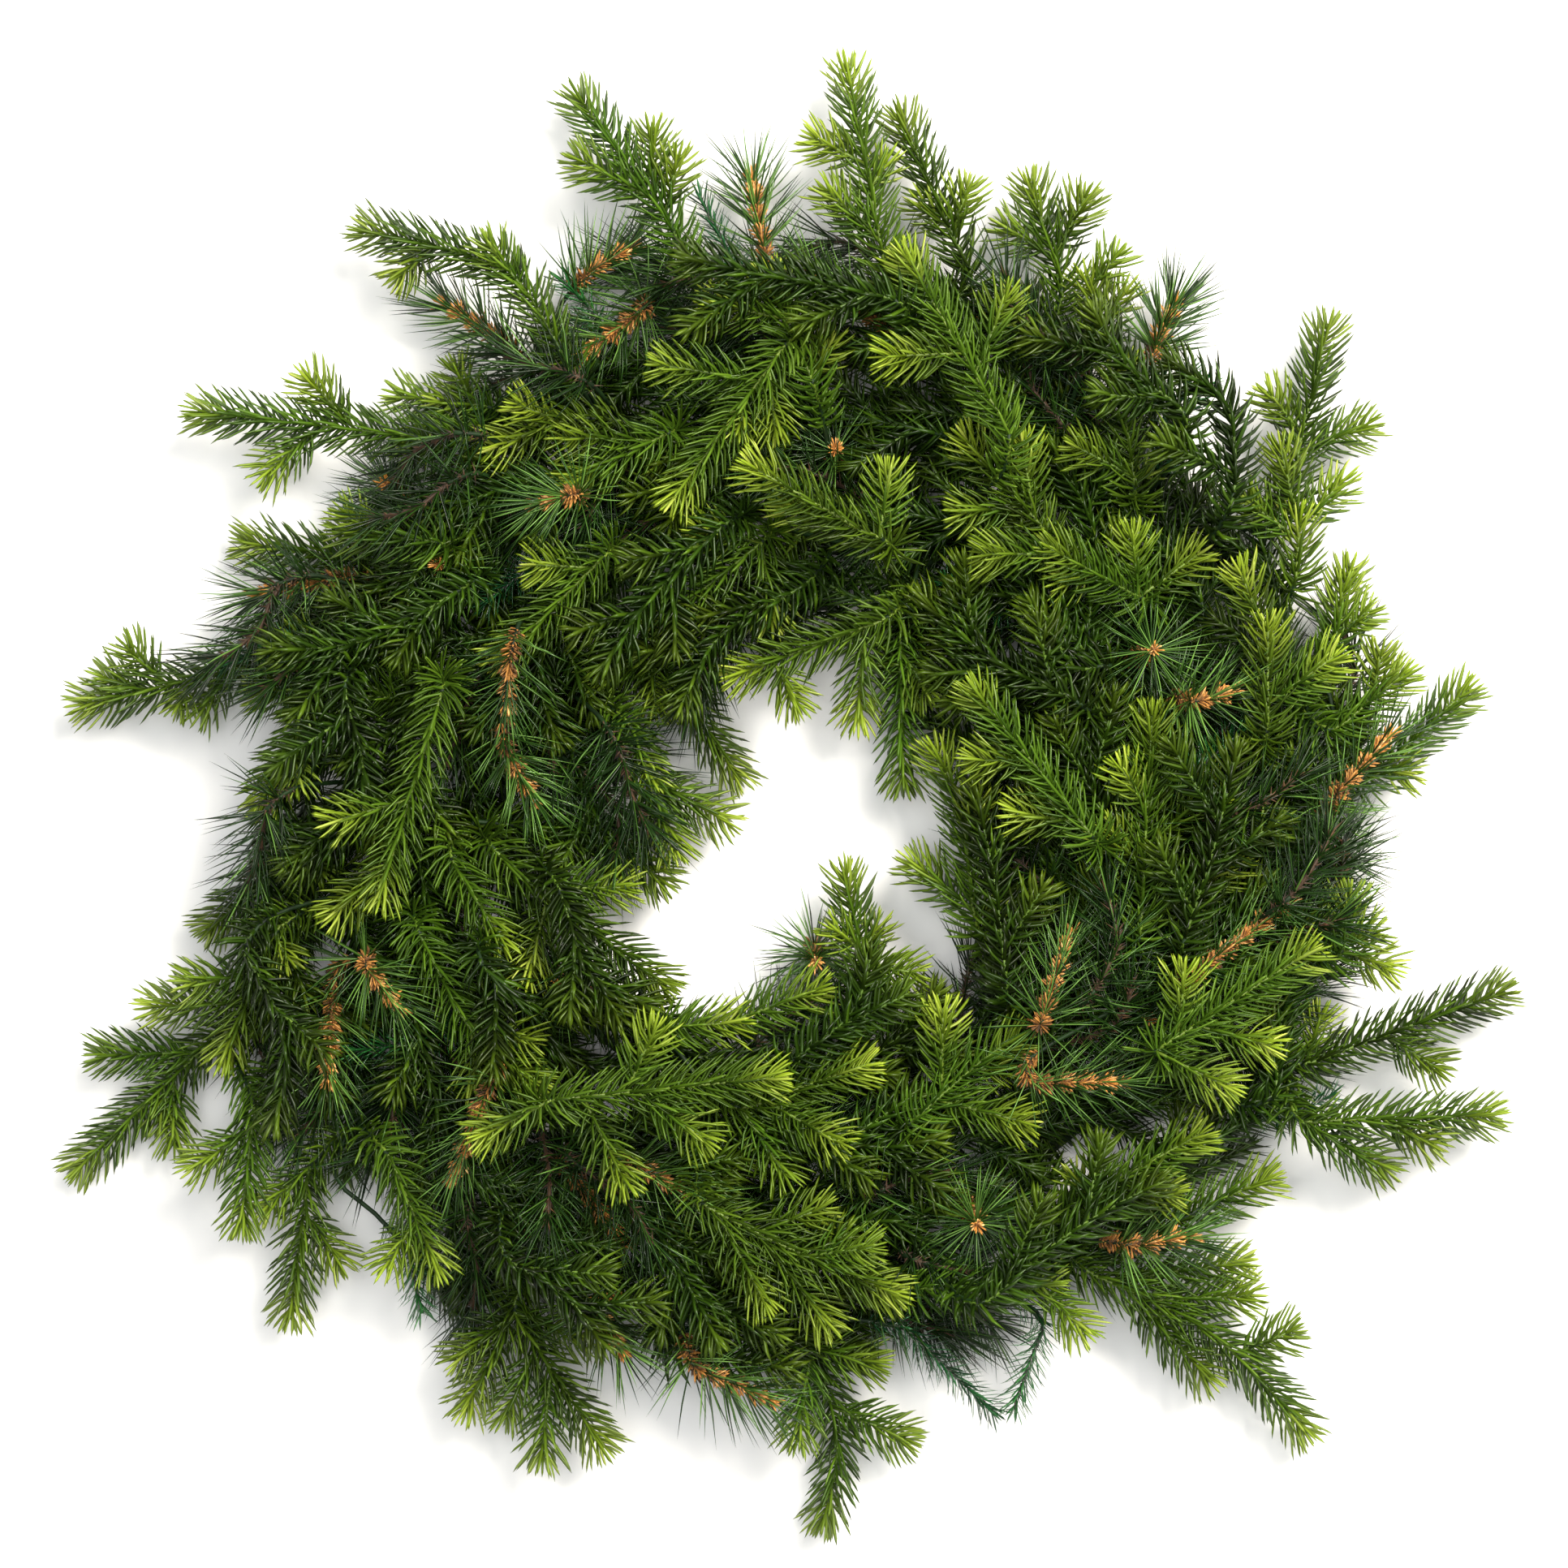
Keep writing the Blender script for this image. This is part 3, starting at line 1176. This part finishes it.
# A needle square to its stem has no side of its own, and gets one from the odd way.
NEARLY_NOTHING = 1e-6
ODD_WAY = (0.3, 0.5, 0.8)
START_DEPTH = 0.6
BOW_SPREAD = 0.05
WIDTHS_SPREAD = (0.85, 1.12)
draw = np.random.default_rng(7)


def fine_curve(line):
    """A fine curve through a solid stem's line, and the direction at each point."""
    if len(line) > 2:
        curve = smooth(line, FINE_STEPS)
    else:
        curve = np.linspace(line[0], line[-1], FINE_POINTS)
    return curve, unit(np.gradient(curve, axis=0))


def spots_on(curve, heads, distances):
    """Points on a curve, and the curve's direction at each."""
    return along(curve, distances), unit(along(curve, distances, heads))


def around(heads, turns):
    """Unit directions square to each head, turned round it."""
    level = np.cross(heads, [0.0, 0.0, 1.0])
    level[np.linalg.norm(level, axis=1) < NEARLY_UPRIGHT] = (1, 0, 0)
    level = unit(level - heads * (level * heads).sum(axis=1)[:, None])
    up = np.cross(level, heads)
    return np.cos(turns)[:, None] * level + np.sin(turns)[:, None] * up


def needles_on(curve, heads, distances, leans, lengths, width, bow, stem_radius):
    """Needles that stand along a curve, leaning forward in radians from its line."""
    count = len(distances)
    spots, ahead = spots_on(curve, heads, distances)
    turns = np.arange(count) * GOLDEN_TURN + draw.uniform(0, FIRST_TURN_MOST)
    outward = around(ahead, turns + draw.normal(0, TURN_SPREAD, count))
    ways = np.sin(leans)[:, None] * outward + np.cos(leans)[:, None] * ahead
    sides = np.cross(ways, outward)
    weak = np.linalg.norm(sides, axis=1) < NEARLY_NOTHING
    sides[weak] = np.cross(ways[weak], ODD_WAY)
    starts = spots + outward * stem_radius * START_DEPTH
    jitter = draw.normal(0, BOW_SPREAD, (count, 3)) * lengths[:, None]
    bows = bow * lengths[:, None] * ahead + jitter
    widths = np.full(count, width) * draw.uniform(*WIDTHS_SPREAD, count)
    return Needles(starts, ways, unit(sides), lengths, widths, bows)


def between(ends, share):
    """From the first end's value to the second's along a stem, slowly at first."""
    return ends[0] - (ends[0] - ends[1]) * share**2


def tinted(lime, own, tone=0.0):
    """Tints for needles: their lime or orange, their own draw, their spray's tone."""
    tints = np.zeros((len(own), 4))
    tints[:, 0] = lime
    tints[:, 1] = own
    tints[:, 3] = tone
    return tints


# %% Moulded fir stems
FIR_STEM_SIDES = 5
FIR_STEM_STEP = 6 * MM
FIR_STEM_RADIUS = 0.9 * MM
FIR_STEM_SHORT = 5.5 * MM
FIR_FEWEST_RINGS = 3
FIR_TAPER = 0.45
FORKED_RADIUS = 0.7
FIR_NEEDLE_RADIUS = 0.7 * MM
FIR_NEEDLE_PITCH = 0.48 * MM
FIR_NEEDLE_JITTER = 0.15
FIR_BARE = 4 * MM
# Needles lean off the stem's line by so many degrees at its root and at its tip.
FIR_LEANS = (72, 56)
FIR_LEAN_SPREAD = 5
FIR_SWEEP = 0.46
FIR_LENGTHS = (0.9, 1.06)
FIR_ROOT_LENGTH = 0.75
FIR_LENGTH_RAMP = 60 * MM
FIR_OVERHANG = 0.8 * MM
FIR_SHORTEST = 4.5 * MM
# The last needles are shorter and lie along the stem, so that the spray ends blunt.
FIR_BLUNT = 13 * MM
FIR_BLUNT_LEAN = 32
FIR_BLUNT_LENGTH = 0.5
# Sprays on top are the limest. A stem's lime grows out to its tip.
LIME_BY_LAYER = (0.48, 0.6, 0.82, 1.05)
LIME_DRAW = (0.5, 1.15)
LIME_REACH = 24 * MM
LIME_ALONG = 0.10
LIME_AT_TIP = 1.15
LIME_CURVE = 0.8
TWIG_LIME = 0.15
FIR_OWN = 0.45
FIR_OWN_SPREAD = 0.26
# Filling sprays have fewer, wider and darker needles.
SHADED_LIME = (0.1, 0.25)
SHADED_TONE = 0.4
SHADED_OWN = 0.15
SHADED_PITCH = 0.6 * MM
SHADED_WIDTH = 1.3


def fir_stem(piece, line, layer, forked, shaded):
    """One moulded stem: its twig, and needles swept forward all the way round."""
    template, pitch, radius = STUBBY, FIR_NEEDLE_PITCH, FIR_NEEDLE_RADIUS
    if shaded:
        template = SHADED if layer > 0 else SPIKE
        pitch = SHADED_PITCH
        radius = SHADED_WIDTH * FIR_NEEDLE_RADIUS
    curve, heads = fine_curve(line)
    length = length_of(curve)
    end = length - FIR_STEM_SHORT
    tone = draw.uniform(0, SHADED_TONE if shaded else 1)
    lime = (SHADED_LIME if shaded else LIME_BY_LAYER)[layer] * draw.uniform(*LIME_DRAW)

    reached = np.linspace(0, end, max(int(length / FIR_STEM_STEP), FIR_FEWEST_RINGS))
    radii = FIR_STEM_RADIUS * (1 - FIR_TAPER * reached / length)
    if forked:
        radii[0] *= FORKED_RADIUS
    twig_tint = (TWIG_LIME * lime, draw.uniform(), 0, tone)
    add_tube(piece, along(curve, reached), radii, FIR_STEM_SIDES, TWIG, twig_tint)

    distances = np.arange(FIR_BARE, end, pitch)
    distances += draw.normal(0, FIR_NEEDLE_JITTER * pitch, len(distances))
    distances = np.clip(distances, FIR_BARE, end)
    share = distances / length
    blunt = np.clip(1 - (length - distances) / FIR_BLUNT, 0, 1)
    leans = between(FIR_LEANS, share) - FIR_BLUNT_LEAN * blunt
    leans = np.radians(leans + draw.normal(0, FIR_LEAN_SPREAD, len(share)))
    lengths = FOLIAGE["fir"].needle * draw.uniform(*FIR_LENGTHS, len(share))
    grown = np.minimum(1, FIR_ROOT_LENGTH + distances / FIR_LENGTH_RAMP)
    lengths *= grown * (1 - FIR_BLUNT_LENGTH * blunt)
    room = (length + FIR_OVERHANG - distances) / (np.cos(leans) + FIR_SWEEP)
    lengths = np.minimum(lengths, np.maximum(room, FIR_SHORTEST))
    needles = needles_on(
        curve, heads, distances, leans, lengths, radius, FIR_SWEEP, FIR_STEM_RADIUS
    )
    near_tip = np.clip(1 - (length - distances) / LIME_REACH, 0, 1)
    limes = np.clip(lime * (LIME_ALONG + LIME_AT_TIP * near_tip**LIME_CURVE), 0, 1)
    own = draw.normal(SHADED_OWN if shaded else FIR_OWN, FIR_OWN_SPREAD, len(share))
    piece.add_needles(template, MOULDED, needles, tinted(limes, np.clip(own, 0, 1), tone))


# %% Pine picks
PINE_WIRE_RADIUS = 0.9 * MM
PINE_WIRE_POINTS = 6
PINE_WIRE_SIDES = 5
PINE_WIRE_OWN = 0.3
SHADED_WIRE_OWN = 0.03
# The bristles stand in tufts along the wire, and lie forward at its tip.
BRISTLES_PER_MM = 6.5
SHADED_BRISTLES_PER_MM = 1.5
BRISTLE_LENGTH = 5.0 * MM
BRISTLE_LENGTHS = (0.75, 1.15)
GAP_LENGTH = 0.5
TUFT_LENGTH = 0.6
BRISTLE_RADIUS = 0.5 * MM
BRISTLE_BOW = 0.1
BRISTLE_LEAN = 62
BRISTLE_LEAN_SPREAD = 10
BRISTLE_TIP_LEAN = 30
TUFT_PITCH = 8.5 * MM
ORANGE_FROM = 0.3
ORANGE_RISE = 2.1
GAP_ORANGE = 0.35
TUFT_ORANGE = 0.65
LEAST_ORANGE = 0.04
SHADED_BRISTLE = 0.08
# The needles stand in whorls between the tufts, most of them near the tip where the
# stem stands upright and only its head is seen.
UPRIGHT = 0.7
PINE_NEEDLES = 125
PINE_NEEDLES_DRAW = (0.85, 1.15)
PINE_NEEDLE_RADIUS = 0.36 * MM
PINE_LEANS = (64, 26)
STANDING_LEANS = (88, 70)
PINE_LENGTHS = (0.86, 1.07)
PINE_BOW = 0.06
PINE_LEAN_SPREAD = 7
PINE_ENDS = 1 * MM
LAST_WHORL = 0.5 * TUFT_PITCH
FIRST_WHORL = 0.3 * TUFT_PITCH
WHORL_SPREAD = 0.9 * MM
HEAD_CROWDING = 0.9
PINE_OWN = 0.55
PINE_OWN_SPREAD = 0.3


def pine_bristles(piece, curve, heads, length, shaded):
    """The fuzz of a pick's stem."""
    count = int(length / MM * (SHADED_BRISTLES_PER_MM if shaded else BRISTLES_PER_MM))
    distances = np.sort(draw.uniform(0, length, count))
    share = distances / length
    tuft = 0.5 + 0.5 * np.cos(2 * math.pi * (length - distances) / TUFT_PITCH)
    lengths = BRISTLE_LENGTH * (GAP_LENGTH + TUFT_LENGTH * tuft)
    lengths = lengths * draw.uniform(*BRISTLE_LENGTHS, count)
    leans = draw.normal(BRISTLE_LEAN, BRISTLE_LEAN_SPREAD, count) - BRISTLE_TIP_LEAN * share**6
    needles = needles_on(
        curve, heads, distances, np.radians(leans), lengths, BRISTLE_RADIUS, BRISTLE_BOW,
        PINE_WIRE_RADIUS
    )
    oranges = (share - ORANGE_FROM) * ORANGE_RISE * (GAP_ORANGE + TUFT_ORANGE * tuft)
    tints = tinted(np.clip(oranges, LEAST_ORANGE, 1), draw.uniform(0, 1, count))
    if shaded:
        tints *= SHADED_BRISTLE
    piece.add_needles(SPIKE if shaded else TAG, BRISTLE, needles, tints)


def pine_stem(piece, line, shaded):
    """One pick: a fuzzy stem, and long needles that fan out of it."""
    curve, heads = fine_curve(line)
    length = length_of(curve)
    spots = along(curve, np.linspace(0, length, PINE_WIRE_POINTS))
    wire_tint = (0, SHADED_WIRE_OWN if shaded else PINE_WIRE_OWN, 0, 0)
    add_tube(piece, spots, PINE_WIRE_RADIUS, PINE_WIRE_SIDES, BRISTLE, wire_tint)
    pine_bristles(piece, curve, heads, length, shaded)

    count = int(PINE_NEEDLES * draw.uniform(*PINE_NEEDLES_DRAW))
    standing = abs(heads[-1, 2]) > UPRIGHT
    whorls = np.arange(length - LAST_WHORL, FIRST_WHORL, -TUFT_PITCH)
    crowding = np.exp(-np.arange(len(whorls)) * (HEAD_CROWDING if standing else 0))
    distances = draw.choice(whorls, count, p=crowding / crowding.sum())
    distances += draw.normal(0, WHORL_SPREAD, count)
    distances = np.sort(np.clip(distances, PINE_ENDS, length - PINE_ENDS))
    share = distances / length
    leans = between(STANDING_LEANS if standing else PINE_LEANS, share)
    leans = leans + draw.normal(0, PINE_LEAN_SPREAD, count)
    lengths = FOLIAGE["pine"].needle * draw.uniform(*PINE_LENGTHS, count)
    needles = needles_on(
        curve, heads, distances, np.radians(leans), lengths, PINE_NEEDLE_RADIUS, PINE_BOW,
        PINE_WIRE_RADIUS
    )
    own = draw.normal(SHADED_OWN if shaded else PINE_OWN, PINE_OWN_SPREAD, count)
    piece.add_needles(LONG, PINE_NEEDLE, needles, tinted(0, np.clip(own, 0, 1)))


# %% Foil sprigs
FOIL_STRAND_RADIUS = 0.5 * MM
FOIL_STRAND_OFFSET = 0.45 * MM
FOIL_STRAND_STEP = 0.9 * MM
FOIL_STRAND_SIDES = 4
FOIL_FEWEST_RINGS = 6
FOIL_TWIST_PITCH = 5 * MM
FOIL_SHORT = 5 * MM
FOIL_BARE = 3 * MM
FOIL_NEEDLE_PITCH = 0.4 * MM
FOIL_NEEDLE_HALF_WIDTH = 0.55 * MM
FOIL_LEANS = (64, 38)
FOIL_LEAN_SPREAD = 5
FOIL_LENGTHS = (0.93, 1.07)
FOIL_OVERHANG = 0.5 * MM
FOIL_SHORTEST = 4 * MM
FOIL_LEAST_COSINE = 0.2
FOIL_BOW = 0.03
FOIL_TONES = [0.1, 0.35, 0.9]


def foil_stem(piece, line):
    """One sprig: two wires twisted together, and flat needles held between them."""
    curve, heads = fine_curve(line)
    length = length_of(curve)
    end = length - FOIL_SHORT
    reached = np.linspace(0, end, max(int(end / FOIL_STRAND_STEP), FOIL_FEWEST_RINGS))
    spots, ahead = spots_on(curve, heads, reached)
    for strand in (0, math.pi):
        offset = around(ahead, strand + 2 * math.pi * reached / FOIL_TWIST_PITCH)
        add_tube(piece, spots + FOIL_STRAND_OFFSET * offset, FOIL_STRAND_RADIUS,
                 FOIL_STRAND_SIDES, BARE_WIRE, (0, 0.5, 0, 0))
    tone = draw.choice(FOIL_TONES)
    distances = np.arange(FOIL_BARE, end, FOIL_NEEDLE_PITCH)
    count = len(distances)
    leans = between(FOIL_LEANS, distances / length)
    leans = np.radians(leans + draw.normal(0, FOIL_LEAN_SPREAD, count))
    lengths = FOLIAGE["foil"].needle * draw.uniform(*FOIL_LENGTHS, count)
    room = (length + FOIL_OVERHANG - distances) / np.maximum(np.cos(leans), FOIL_LEAST_COSINE)
    lengths = np.minimum(lengths, np.maximum(room, FOIL_SHORTEST))
    needles = needles_on(
        curve, heads, distances, leans, lengths, FOIL_NEEDLE_HALF_WIDTH, FOIL_BOW,
        FOIL_STRAND_RADIUS
    )
    piece.add_needles(STRIP, FOIL_NEEDLE, needles, tinted(0, draw.uniform(0, 1, count), tone))


# %% Stalks
# A stem's foliage starts part way down its stalk, like a sleeve.
STALK_SIDES = 6
STALK_STEPS = 3
STALK_LEAST_STEP = 0.05 * MM
SLEEVES = {"fir": 28 * MM, "pine": 16 * MM, "foil": 18 * MM}
SLEEVE_MOST = 0.7


def with_stalk(piece, stem):
    """Add a stem's stalk, of enamelled wire, and give the line of stem and sleeve."""
    path = smooth(np.vstack([stem.stalk, stem.line[:1]]), STALK_STEPS)
    apart = np.linalg.norm(np.diff(path, axis=0), axis=1) > STALK_LEAST_STEP
    curve = path[np.concatenate([[True], apart])]
    add_tube(piece, curve, STALK_RADIUS, STALK_SIDES, ENAMEL, (0, 0.5, 0, 0))
    path = path[::-1]
    reach = min(SLEEVES[stem.kind], SLEEVE_MOST * walked(path)[-1])
    return np.vstack([along(path, [reach, reach / 2]), stem.line])


def grow(piece, stem, shaded=False):
    """Add a stem with its foliage, and its stalk if it has one."""
    forked = not len(stem.stalk)
    line = stem.line if forked else with_stalk(piece, stem)
    if stem.kind == "fir":
        fir_stem(piece, line, stem.layer, forked, shaded)
    elif stem.kind == "pine":
        pine_stem(piece, line, shaded)
    else:
        foil_stem(piece, line)


# %% [markdown]
# ## The sprays
# Each branch of the frame gets one piece, grown along the same stems as its solid.
# A filling spray goes in the piece of the branch whose root is nearest to its own.

# %% Every branch
total = 0
roots = np.array([own[0].line[0][:2] for own in stems])
homes = [
    int(np.argmin(np.linalg.norm(roots - added[0].line[0][:2], axis=1))) for added in fillers
]
for number, own in enumerate(stems):
    piece = Gathered()
    for stem in own:
        grow(piece, stem)
    for home, added in zip(homes, fillers):
        if home == number:
            for stem in added:
                grow(piece, stem, shaded=True)
    if number < len(BRANCHES):
        node, slot = f"fir_branch_{number + 1:02d}", "fir"
    else:
        node, slot = f"pine_pick_{number + 1 - len(BRANCHES):02d}", "pine"
    total += piece.finished(f"{node}_foliage", node)
print("foliage triangles", total)

# %% [markdown]
# ## The wire frame
# Two rings of drawn wire, butt welded, with six cross ties welded between them. It
# is hidden under the foliage from above, and is what you see from behind. Each ring
# is one profile spun round, and each weld is a small flattened bead.

# %% The wire frame
RING_SIDES = 12
RING_TURN_STEPS = 180
TIE_SIDES = 10
WELD_RADIUS = 2.6 * MM
WELD_OFFSET = 1.6 * MM
WELD_SHAPE = (1, 1.1, 0.7, 1)
MERGE = 0.001 * MM
HALF_STEP = math.pi / RING_STEPS
ring_mesh = bmesh.new()
for radius in (INNER_RING_RADIUS, OUTER_RING_RADIUS):
    # The solid's ring has corners. This one's radius is half way from them to its sides.
    middle_radius = radius * (1 + math.cos(HALF_STEP)) / 2
    start = Matrix.Translation((middle_radius, 0, RING_WIRE_HEIGHT))
    profile = bmesh.ops.create_circle(
        ring_mesh, segments=RING_SIDES, radius=RING_WIRE_HEIGHT,
        matrix=start @ Matrix.Rotation(math.pi / 2, 4, "X")
    )["verts"]
    edges = list({edge for vert in profile for edge in vert.link_edges})
    bmesh.ops.spin(
        ring_mesh, geom=edges + profile, cent=(0, 0, 0), axis=(0, 0, 1),
        angle=2 * math.pi, steps=RING_TURN_STEPS, use_merge=True
    )
for number in range(TIE_COUNT):
    turn = Matrix.Rotation(tie_turn(number), 4, "Z")
    middle = ((INNER_RING_RADIUS + OUTER_RING_RADIUS) / 2, 0, RING_WIRE_HEIGHT)
    bmesh.ops.create_cone(
        ring_mesh, cap_ends=True, segments=TIE_SIDES, radius1=TIE_RADIUS, radius2=TIE_RADIUS,
        depth=OUTER_RING_RADIUS - INNER_RING_RADIUS,
        matrix=turn @ Matrix.Translation(middle) @ Matrix.Rotation(math.pi / 2, 4, "Y")
    )
    for place in (INNER_RING_RADIUS + WELD_OFFSET, OUTER_RING_RADIUS - WELD_OFFSET):
        bead = turn @ Matrix.Translation((place, 0, RING_WIRE_HEIGHT)) @ Matrix.Diagonal(WELD_SHAPE)
        bmesh.ops.create_icosphere(ring_mesh, subdivisions=2, radius=WELD_RADIUS, matrix=bead)
bmesh.ops.remove_doubles(ring_mesh, verts=ring_mesh.verts, dist=MERGE)
bmesh.ops.recalc_face_normals(ring_mesh, faces=ring_mesh.faces)
ring_points, ring_faces = arrays_of(ring_mesh)
mesh = bpy.data.meshes.new("ring_frame_wire")
mesh.from_pydata((ring_points + [*RING_CENTRE, 0] + SHIFT).tolist(), [], ring_faces)
mesh.shade_smooth()
mesh.materials.append(enamel)
ring = bpy.data.objects.new("ring_frame_wire", mesh)
bpy.context.scene.collection.objects.link(ring)
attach(ring, "root")
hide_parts("ring_frame")
print("ring frame", len(ring_faces), "faces, lowest point", ring_points[:, 2].min())

# %% [markdown]
# ## Floor, camera and light
# The photograph is a bright flat lay: camera straight above, a white ground, broad
# soft light from the upper right and faint shadows to the lower left.

# %% Floor
FLOOR_SIZE = 8
PAPER_PATCH = 0.4
bpy.ops.mesh.primitive_plane_add(size=FLOOR_SIZE)
floor = bpy.context.object
floor.name = "floor"
paper, tree, shader = plain_material("white_paper", 0.9)
pale = ramp(tree, noise(tree, PAPER_PATCH), (0.3, "#f6f6f5"), (0.7, "#fbfbfa"))
finish(tree, shader, pale)
floor.data.materials.append(paper)

# %% Camera
PHOTO_PIXELS = 1932
SENSOR_MM = 36
CAMERA_HEIGHT = 2.6
SHARP_HEIGHT = 0.035
FURTHEST_SEEN = 20
centre = on_plan((PHOTO_PIXELS / 2, PHOTO_PIXELS / 2)) + SHIFT[:2]
lens = bpy.data.cameras.new("camera")
lens.sensor_width = SENSOR_MM
lens.lens = SENSOR_MM * (CAMERA_HEIGHT - SHARP_HEIGHT) / (PHOTO_PIXELS * PIXEL)
lens.clip_end = FURTHEST_SEEN
camera = bpy.data.objects.new("camera", lens)
camera.location = (*centre, CAMERA_HEIGHT)
bpy.context.scene.collection.objects.link(camera)
bpy.context.scene.camera = camera


# %% Light
SKY_STRENGTH = 0.42


def soft_light(name, place, size, power, colour):
    """A round lamp that faces the wreath."""
    data = bpy.data.lights.new(name, "AREA")
    data.shape = "DISK"
    data.size = size
    data.energy = power
    data.color = linear(colour)[:3]
    made = bpy.data.objects.new(name, data)
    made.location = place
    made.rotation_euler = (-Vector(place)).to_track_quat("-Z", "Y").to_euler()
    bpy.context.scene.collection.objects.link(made)


soft_light("key", place=(1.1, 1.2, 2.2), size=1.2, power=136, colour="#fff8ee")
soft_light("overhead", place=(-0.4, 0.2, 3.4), size=2.2, power=64, colour="#ffffff")
world = bpy.context.scene.world or bpy.data.worlds.new("studio")
bpy.context.scene.world = world
world.use_nodes = True
sky = {"Color": linear("#ffffff"), "Strength": SKY_STRENGTH}
feed(world.node_tree, world.node_tree.nodes["Background"], sky)
bpy.context.scene.view_settings.view_transform = "Standard"
